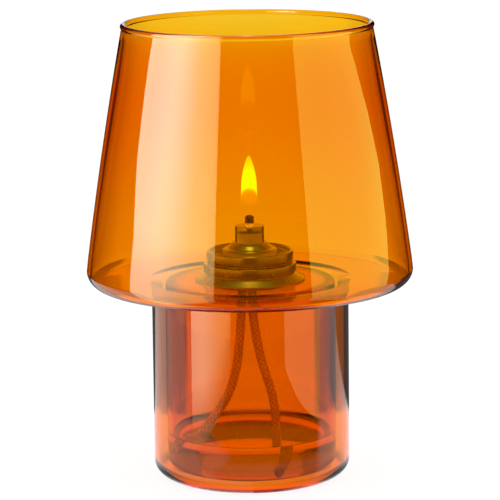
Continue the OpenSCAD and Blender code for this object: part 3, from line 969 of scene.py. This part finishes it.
def plaited(name, line, radius, depth, strands, pitch, sides, radius_at=None):
    """A plaited tube along a line, with a UV map along it and its relief as an attribute."""
    travelled = [0.0]
    for here, there in zip(line, line[1:]):
        travelled.append(travelled[-1] + (there - here).length)
    up = Vector((0, 1, 0))
    vertices, relief = [], []
    for i, point in enumerate(line):
        way = (line[min(i + 1, len(line) - 1)] - line[max(i - 1, 0)]).normalized()
        up = (up - way * up.dot(way)).normalized()
        across = way.cross(up)
        full = radius * (radius_at(travelled[i], travelled[-1]) if radius_at else 1.0)
        for k in range(sides):
            turn = k / sides
            height = plait_relief(turn, travelled[i] / pitch, strands)
            angle = 2 * math.pi * turn
            reach = full - depth * (1 - height) * full / radius
            vertices.append(point + reach * (math.cos(angle) * across + math.sin(angle) * up))
            relief.append(height)
    faces = []
    for i in range(len(line) - 1):
        for k in range(sides):
            n = (k + 1) % sides
            low, high = i * sides, (i + 1) * sides
            faces.append((low + k, low + n, high + n, high + k))
    faces.append(tuple(range(sides - 1, -1, -1)))
    faces.append(tuple((len(line) - 1) * sides + k for k in range(sides)))
    mesh = bpy.data.meshes.new(name)
    mesh.from_pydata(vertices, [], faces)
    piece = bpy.data.objects.new(name, mesh)
    bpy.context.scene.collection.objects.link(piece)
    mesh.attributes.new("relief", "FLOAT", "POINT").data.foreach_set("value", relief)
    uv = mesh.uv_layers.new(name="along")
    for face in mesh.polygons:
        for corner in face.loop_indices:
            ring_at, k = divmod(mesh.loops[corner].vertex_index, sides)
            wrapped = 1.0 if k == 0 and any(
                mesh.loops[c].vertex_index % sides == sides - 1 for c in face.loop_indices
            ) else k / sides
            uv.data[corner].uv = (wrapped, travelled[ring_at] / (2 * math.pi * radius))
    make_active(piece)
    bpy.ops.object.mode_set(mode="EDIT")
    bpy.ops.mesh.select_all(action="SELECT")
    bpy.ops.mesh.normals_make_consistent(inside=False)
    bpy.ops.object.mode_set(mode="OBJECT")
    bpy.ops.object.shade_smooth()
    return piece


# ------------------------------------------------------------------ operators
class OILLAMP_OT_stage(bpy.types.Operator):
    """Sets the camera, the pale floor and the soft studio light"""

    bl_idname = "oil_lamp.stage"
    bl_label = "Set the stage"

    def execute(self, context):
        studio = context.scene.oil_lamp_studio
        self.camera(context, studio)
        self.floor(studio)
        self.world(context, studio)
        self.panels(studio)
        return {"FINISHED"}

    def camera(self, context, studio):
        deselect_all()
        bpy.ops.object.camera_add()
        camera = context.active_object
        camera.name = "Camera"
        camera.data.lens = studio.camera_lens
        camera.data.sensor_width = 36.0
        camera.data.clip_start = 0.01
        camera.data.clip_end = 50.0
        tilt = Matrix.Rotation(math.pi / 2 - studio.camera_tilt, 4, "X")
        roll = Matrix.Rotation(studio.camera_roll, 4, "Z")
        camera.matrix_world = Matrix.Translation(studio.camera_place) @ tilt @ roll
        context.scene.camera = camera
        context.scene.view_settings.view_transform = "Standard"

    def floor_finish(self, studio):
        """White paper, lit from below, that keeps a faint shadow."""
        material, tree, shader, output = new_material("Pale floor")
        colour = opaque_colour(studio.floor_colour)
        grain = noise(tree, object_place(tree)[0], 400.0, 3.0)
        fill(tree, shader, {
            "Base Color": colour, "Specular IOR Level": 0.0,
            "Roughness": ramp(tree, grain, 0.3, 0.7, 0.75, 0.9),
        })
        glow = add_node(tree, "ShaderNodeEmission", {"Color": colour, "Strength": FLOOR_GLOW})
        mixed = add_node(
            tree, "ShaderNodeMixShader",
            {0: FLOOR_GLOW_SHARE, 1: shader.outputs["BSDF"], 2: glow.outputs["Emission"]},
        )
        fill(tree, output, {"Surface": mixed.outputs["Shader"]})
        return material

    def flags(self, tree, split):
        """1 on the two flags behind the lamp, and 0 beside them."""
        aside = calculate(tree, "ABSOLUTE", split[0])
        edge = calculate(tree, "MULTIPLY_ADD", split[1], FLAG_SLOPE, FLAG_START)
        past_edge = ramp(tree, calculate(tree, "SUBTRACT", aside, edge), *FLAG_EDGE)
        end = product(tree, split[1], ramp(tree, split[0], *MIDLINE, *FLAG_ENDS))
        past_end = calculate(tree, "SUBTRACT", aside, end)
        before_end = ramp(tree, past_end, *FLAG_END_EDGE, 1.0, 0.0)
        return product(tree, past_edge, before_end, ramp(tree, split[1], *FLAG_NEAR_Y))

    def table_finish(self):
        """The white table as glass and metal show it, dark in front and with two flags behind."""
        material, tree, shader, output = new_material("Bright table")
        tree.nodes.remove(shader)
        _, split = object_place(tree)
        flag = self.flags(tree, split)
        through = ramp(tree, flag, 0.0, 1.0, 1.0, FLAG_LIGHT, smooth=False)
        from_foot = from_axis(tree, split)
        left_patch = product(
            tree, ramp(tree, split[0], *LEFT_PATCH_X, LEFT_PATCH_LIGHT, 0.0),
            ramp(tree, split[1], *LEFT_PATCH_Y),
        )
        near_light = highest(
            tree, ramp(tree, from_foot, *NEAR_TABLE_R, NEAR_TABLE_LIGHT, 0.0), left_patch,
        )
        bright_from_y = ramp(tree, split[0], *MIDLINE, *BRIGHT_FROM_Y)
        past_front = calculate(tree, "SUBTRACT", split[1], bright_from_y)
        first = highest(tree, near_light, ramp(tree, past_front, *BRIGHT_EDGE, 0.0, TABLE_LIGHT))
        later = highest(
            tree, ramp(tree, split[1], *INSIDE_Y, *TABLE_INSIDE),
            ramp(tree, from_foot, *NEAR_INSIDE_R, TABLE_LIGHT, 0.0),
        )
        flagged = ramp(tree, flag, 0.0, 1.0, 1.0, FLAG_MIRRORED, smooth=False)
        lit = choose(tree, past(tree, "Transmission"), first, later)
        level = choose(tree, past(tree, "Glossy"), through, product(tree, lit, flagged))
        shadow = highest(
            tree, ramp(tree, from_foot, *SHADOW_R[:2], 1.0, SHADOW_LIGHT),
            ramp(tree, from_foot, *SHADOW_R[2:], SHADOW_LIGHT, 1.0),
        )
        glow = add_node(tree, "ShaderNodeEmission", {"Strength": product(tree, level, shadow)})
        fill(tree, output, {"Surface": glow.outputs["Emission"]})
        material.cycles.emission_sampling = "NONE"
        return material

    def floor(self, studio):
        deselect_all()
        bpy.ops.mesh.primitive_plane_add(size=FLOOR_SIZE, location=(0, 0, FLOOR_Z))
        floor = bpy.context.active_object
        floor.name = "floor"
        floor.visible_glossy = False
        floor.visible_transmission = False
        floor.data.materials.append(self.floor_finish(studio))
        bpy.ops.mesh.primitive_circle_add(
            vertices=128, radius=TABLE_R, fill_type="NGON", location=(0, 0, TABLE_Z),
        )
        table = bpy.context.active_object
        table.name = "table_round_the_lamp"
        bpy.ops.object.transform_apply(location=True, rotation=False, scale=False)
        table.visible_camera = False
        table.visible_diffuse = False
        table.visible_shadow = False
        table.data.materials.append(self.table_finish())

    def world(self, context, studio):
        """White behind the lamp, darkness beside it, and an even light on matte surfaces."""
        world = bpy.data.worlds.new("Studio")
        context.scene.world = world
        world.use_nodes = True
        tree = world.node_tree
        split = split_up(tree, add_node(tree, "ShaderNodeTexCoord").outputs["Generated"])
        aside = calculate(tree, "ABSOLUTE", calculate(tree, "ARCTAN2", split[0], split[1]))
        inside = past(tree, "Transmission")
        white = ramp(tree, aside, *BACKDROP_EDGE, 1.0, DARK_ROOM)
        by_camera = add_node(tree, "ShaderNodeLightPath").outputs["Is Camera Ray"]
        side_glow = product(
            tree, ramp(tree, aside, *SIDE_GLOW_START),
            ramp(tree, aside, *SIDE_GLOW_END, 1.0, FRONT_GLOW),
            ramp(tree, split[0], *SIDE_BLEND, *SIDE_GLOWS),
        )
        backdrop = product(
            tree, ramp(tree, aside, *BACKDROP_EDGE, 1.0, BESIDE_BACKDROP),
            ramp(tree, split[2], *BACKDROP_TOP, 1.0, BACKDROP_TOP_SHARE),
        )
        above = ramp(tree, split[2], *HIGH_UP, studio.glow_in_metal, HIGH_GLOW)
        glow = ramp(tree, split[2], *HORIZON, side_glow, above)
        strip = ramp(tree, aside, *MIRRORED_EDGE, 1.0, 0.0)
        behind = choose(tree, inside, strip, highest(tree, backdrop, glow))
        overhead = product(
            tree, ramp(tree, split[2], *OVERHEAD, 0.0, studio.top_light),
            ramp(tree, inside, 0.0, 1.0, 1.0, OVERHEAD_INSIDE_SHARE),
        )
        matte = ramp(tree, inside, 0.0, 1.0, studio.plain_light, studio.inside_light, smooth=False)
        seen = highest(tree, white, by_camera)
        clear = choose(tree, past(tree, "Glossy"), seen, highest(tree, behind, overhead))
        fill(tree, tree.nodes["Background"], {
            "Color": WHITE, "Strength": choose(tree, past(tree, "Diffuse"), clear, matte),
        })

    def coloured(self, tree, factor, stops):
        """A colour that follows (place, colour) stops."""
        node = add_node(tree, "ShaderNodeValToRGB", {"Fac": factor})
        elements = node.color_ramp.elements
        for element, (position, colour) in zip(elements, (stops[0], stops[-1])):
            element.position, element.color = position, opaque_colour(colour)
        for position, colour in stops[1:-1]:
            elements.new(position).color = opaque_colour(colour)
        return node.outputs["Color"]

    def panel_finish(self, name, strength, colours, along, levels):
        """A glow that only outer mirrors show, coloured from front to back and levelled upwards."""
        material, tree, shader, output = new_material(name)
        tree.nodes.remove(shader)
        _, split = object_place(tree)
        shown = past(tree, "Glossy")
        for kind in ("Diffuse", "Transmission"):
            shown = product(tree, shown, calculate(tree, "SUBTRACT", 1.0, past(tree, kind)))
        hue = self.coloured(tree, ramp(tree, split[1], *along, smooth=False), colours)
        level = self.coloured(tree, calculate(tree, "DIVIDE", split[2], PANEL_H), levels)
        glow = add_node(
            tree, "ShaderNodeEmission",
            {"Color": blend_colours(tree, 1.0, hue, level, "MULTIPLY"), "Strength": strength},
        )
        clear = add_node(tree, "ShaderNodeBsdfTransparent")
        mixed = add_node(
            tree, "ShaderNodeMixShader", {0: shown, 1: clear.outputs[0], 2: glow.outputs[0]},
        )
        fill(tree, output, {"Surface": mixed.outputs["Shader"]})
        material.cycles.emission_sampling = "NONE"
        return material

    def panel(self, name, x, corners, finish):
        """An upright sheet at x; corners are (y, z) in millimetres."""
        deselect_all()
        bpy.ops.mesh.primitive_circle_add(vertices=len(corners), radius=1.0, fill_type="NGON")
        sheet = bpy.context.active_object
        sheet.name = name
        for vertex, (y, z) in zip(sheet.data.vertices, corners):
            vertex.co = (x, y * MM, z * MM)
        sheet.visible_camera = False
        sheet.visible_shadow = False
        sheet.data.materials.append(finish)

    def panels(self, studio):
        left_finish = self.panel_finish(
            "Left diffuser", studio.left_panel_light, LEFT_PANEL_COLOURS, LEFT_PANEL_Y,
            LEFT_PANEL_LEVELS,
        )
        self.panel("left_diffuser", LEFT_PANEL_X, LEFT_PANEL, left_finish)
        warm = tuple(studio.right_card_colour)
        right_finish = self.panel_finish(
            "Right card", studio.right_card_light, [(0.0, warm), (1.0, warm)], RIGHT_CARD_Y,
            RIGHT_CARD_LEVELS,
        )
        self.panel("right_card", RIGHT_CARD_X, RIGHT_CARD, right_finish)


class OILLAMP_OT_feeder_cords(bpy.types.Operator):
    """Plaits the two limp cotton cords that draw oil up into the tube"""

    bl_idname = "oil_lamp.feeder_cords"
    bl_label = "Plait the feeder cords"

    def execute(self, context):
        wick = context.scene.oil_lamp_wick
        cotton = yarn("Plaited cotton", wick.cotton_colour, COTTON_HOLLOW_SHADE, roughness=0.5)
        for side, route in (("left", LEFT_ROUTE), ("right", RIGHT_ROUTE)):
            line = smooth_route(route, CORD_POINTS_PER_SPAN)
            piece = plaited(f"feeder_cord_{side}_plait", line, wick.cord_d / 2, **CORD_PLAIT)
            dress(piece, cotton, "burner", f"feeder_cord_{side}", slot="cord_cotton")
        return {"FINISHED"}


class OILLAMP_OT_lamp_glass(bpy.types.Operator):
    """Blows the lamp's glass, shade and base in one piece"""

    bl_idname = "oil_lamp.lamp_glass"
    bl_label = "Blow the lamp glass"

    def execute(self, context):
        glass = context.scene.oil_lamp_glass
        piece = turned("lamp_glass_blown", lamp_glass_outline(), steps=224, smooth_angle=65.0)
        amber = blown_glass("Amber glass", glass.lamp_filter, glass.lamp_density, 0.1)
        dress(piece, amber, "lamp_body", "lamp_glass", slot="amber_glass")
        return {"FINISHED"}


class OILLAMP_OT_oil_vessel(bpy.types.Operator):
    """Blows the loose oil vessel with its neck, and fills it with oil"""

    bl_idname = "oil_lamp.oil_vessel"
    bl_label = "Blow and fill the vessel"

    def execute(self, context):
        glass = context.scene.oil_lamp_glass
        vessel = turned("oil_vessel_blown", vessel_outline(), steps=192, smooth_angle=65.0)
        amber = blown_glass("Vessel glass", glass.vessel_filter, glass.vessel_density, 0.15)
        dress(vessel, amber, "vessel", "oil_vessel", slot="vessel_glass")
        oil = turned("lamp_oil_fill", oil_outline(), steps=192, smooth_angle=60.0)
        dress(oil, clear_oil(), "vessel", "lamp_oil", slot="oil")
        return {"FINISHED"}


class OILLAMP_OT_collar(bpy.types.Operator):
    """Presses the collar round the vessel's neck, with its crimp dimples"""

    bl_idname = "oil_lamp.collar"
    bl_label = "Press the neck collar"

    def execute(self, context):
        piece = turned("neck_collar_pressed", collar_outline(), steps=144, edge=EDGE_SOFTNESS)
        band_z = COLLAR_Z + SKIRT_H + GROOVE_H
        dimple_z = band_z + (COLLAR_TOP_Z - band_z) / 3
        ball_r = (DIMPLE_R ** 2 + DIMPLE_D ** 2) / (2 * DIMPLE_D)
        turn = math.pi / 2 + math.pi / DIMPLE_COUNT
        punches = []
        for place in round_axis(DIMPLE_COUNT, COLLAR_R + ball_r - DIMPLE_D, dimple_z, turn):
            deselect_all()
            bpy.ops.mesh.primitive_uv_sphere_add(
                segments=24, ring_count=16, radius=ball_r, location=place,
            )
            punches.append(bpy.context.active_object)
        cut_away(piece, punches)
        plating = plated_metal("Collar plating", ring_scale=1400.0, roughness_step=0.04)
        dress(piece, plating, "vessel", "neck_collar", slot="collar_metal")
        return {"FINISHED"}


class OILLAMP_OT_burner(bpy.types.Operator):
    """Makes the lift-out burner: sealing ring, cap, sleeve, guide plate, wick tube and tip"""

    bl_idname = "oil_lamp.burner"
    bl_label = "Make the burner"

    def execute(self, context):
        plating = plated_metal("Burner plating", ring_scale=1200.0)
        tube_plating = plated_metal("Tube plating", ring_scale=1800.0, roughness_step=-0.03)
        seal = ring_outline(SLEEVE_R + SEAL_FIT, SEAL_R, COLLAR_TOP_Z, CAP_Z)
        sleeve = ring_outline(SLEEVE_R - SHEET_T, SLEEVE_R, SLEEVE_Z, SLEEVE_TOP_Z)
        plate = ring_outline(TUBE_R + SEAM, PLATE_R, PLATE_Z, PLATE_Z + SHEET_T)
        tube = ring_outline(TUBE_R - TUBE_T, TUBE_R, TUBE_Z, TIP_Z)
        for node, made, outline, steps, edge, material, slot in (
            ("seal_ring", "moulded", seal, 128, SEAL_ROUND_R, soft_rubber(), "seal_rubber"),
            ("burner_cap", "pressed", cap_outline(), 160, EDGE_SOFTNESS, plating, "burner_metal"),
            ("burner_sleeve", "drawn", sleeve, 128, EDGE_SOFTNESS, plating, "burner_metal"),
            ("guide_plate", "pierced", plate, 128, 0.0, plating, "burner_metal"),
            ("wick_tube", "drawn", tube, 128, EDGE_SOFTNESS, tube_plating, "tube_metal"),
            ("tube_tip", "turned", tip_outline(), 128, TIP_SOFTNESS, tube_plating, "tube_metal"),
        ):
            piece = turned(f"{node}_{made}", outline, steps=steps, edge=edge)
            if node == "guide_plate":
                self.pierce(piece)
            dress(piece, material, "burner", node, slot=slot)
        return {"FINISHED"}

    def pierce(self, plate):
        """Drills the guide plate's vents, midway between the tube and the sleeve."""
        reach = (TUBE_R + SLEEVE_R - SHEET_T) / 2
        drills = []
        for place in round_axis(VENT_COUNT, reach, PLATE_Z + SHEET_T / 2):
            deselect_all()
            bpy.ops.mesh.primitive_cylinder_add(
                vertices=32, radius=VENT_R, depth=4 * SHEET_T, location=place,
            )
            drills.append(bpy.context.active_object)
        cut_away(plate, drills, EDGE_SOFTNESS)


class OILLAMP_OT_wick(bpy.types.Operator):
    """Plaits the glass-fibre wick, burnt and rounded at its top"""

    bl_idname = "oil_lamp.wick"
    bl_label = "Plait the wick"

    def execute(self, context):
        wick = context.scene.oil_lamp_wick
        rise = (WICK_TOP_Z - WICK_Z) / WICK_RINGS
        line = [Vector((0, 0, WICK_Z + rise * i)) for i in range(WICK_RINGS + 1)]

        def radius_at(travelled, length):
            left = length - travelled
            if left > WICK_DOME_H:
                return 1.0
            rounding = math.sqrt(1 - (1 - left / WICK_DOME_H) ** 2)
            return WICK_DOME_TOP + (1 - WICK_DOME_TOP) * rounding

        piece = plaited("wick_plait", line, WICK_R, radius_at=radius_at, **WICK_PLAIT)
        fibre = yarn(
            "Glass fibre", wick.fibre_colour, FIBRE_HOLLOW_SHADE, roughness=0.55,
            char=(wick.char_colour, TIP_TOP_Z + CHAR_FROM_H, TIP_TOP_Z + CHAR_TO_H),
        )
        dress(piece, fibre, "wick_piece", "wick", slot="wick_fibre")
        return {"FINISHED"}


class OILLAMP_OT_flame(bpy.types.Operator):
    """Lights the flame on the wick"""

    bl_idname = "oil_lamp.flame"
    bl_label = "Light the flame"

    def execute(self, context):
        wick = context.scene.oil_lamp_wick
        tip_z = WICK_TOP_Z + wick.flame_h
        shape = [
            (wick.flame_r * width, 0.0, WICK_TOP_Z + wick.flame_h * height)
            for width, height in FLAME_SHAPE
        ]
        outline = [(0.0, shape[0][2])]
        outline += [(max(point.x, 0.02 * MM), point.z) for point in smooth_route(shape, 5)[:-1]]
        outline.append((0.0, tip_z))
        piece = turned("flame", outline, steps=48, smooth_angle=80.0)
        glow = flame_glow(WICK_TOP_Z + FLAME_CLEAR_H, WICK_TOP_Z + FLAME_BODY_H, tip_z)
        dress(piece, glow, "wick_piece")
        return {"FINISHED"}


class OILLAMP_PT_sidebar(bpy.types.Panel):
    """The steps that dress the lamp, in the 3D view's sidebar"""

    bl_idname = "OILLAMP_PT_sidebar"
    bl_label = "Glass oil lamp"
    bl_space_type = "VIEW_3D"
    bl_region_type = "UI"
    bl_category = "Oil lamp"

    def draw(self, context):
        for operator in OPERATORS:
            self.layout.operator(operator.bl_idname)


OPERATORS = (
    OILLAMP_OT_stage,
    OILLAMP_OT_feeder_cords,
    OILLAMP_OT_lamp_glass,
    OILLAMP_OT_oil_vessel,
    OILLAMP_OT_collar,
    OILLAMP_OT_burner,
    OILLAMP_OT_wick,
    OILLAMP_OT_flame,
)


def register():
    for group in SETTINGS.values():
        bpy.utils.register_class(group)
    for name, group in SETTINGS.items():
        setattr(bpy.types.Scene, name, bpy.props.PointerProperty(type=group))
    for cls in (*OPERATORS, OILLAMP_PT_sidebar):
        bpy.utils.register_class(cls)


def unregister():
    for cls in reversed((*OPERATORS, OILLAMP_PT_sidebar)):
        bpy.utils.unregister_class(cls)
    for name, group in SETTINGS.items():
        delattr(bpy.types.Scene, name)
        bpy.utils.unregister_class(group)


def main():
    register()
    for operator in OPERATORS:
        folder, name = operator.bl_idname.split(".")
        getattr(getattr(bpy.ops, folder), name)()


if __name__ == "__main__":
    main()
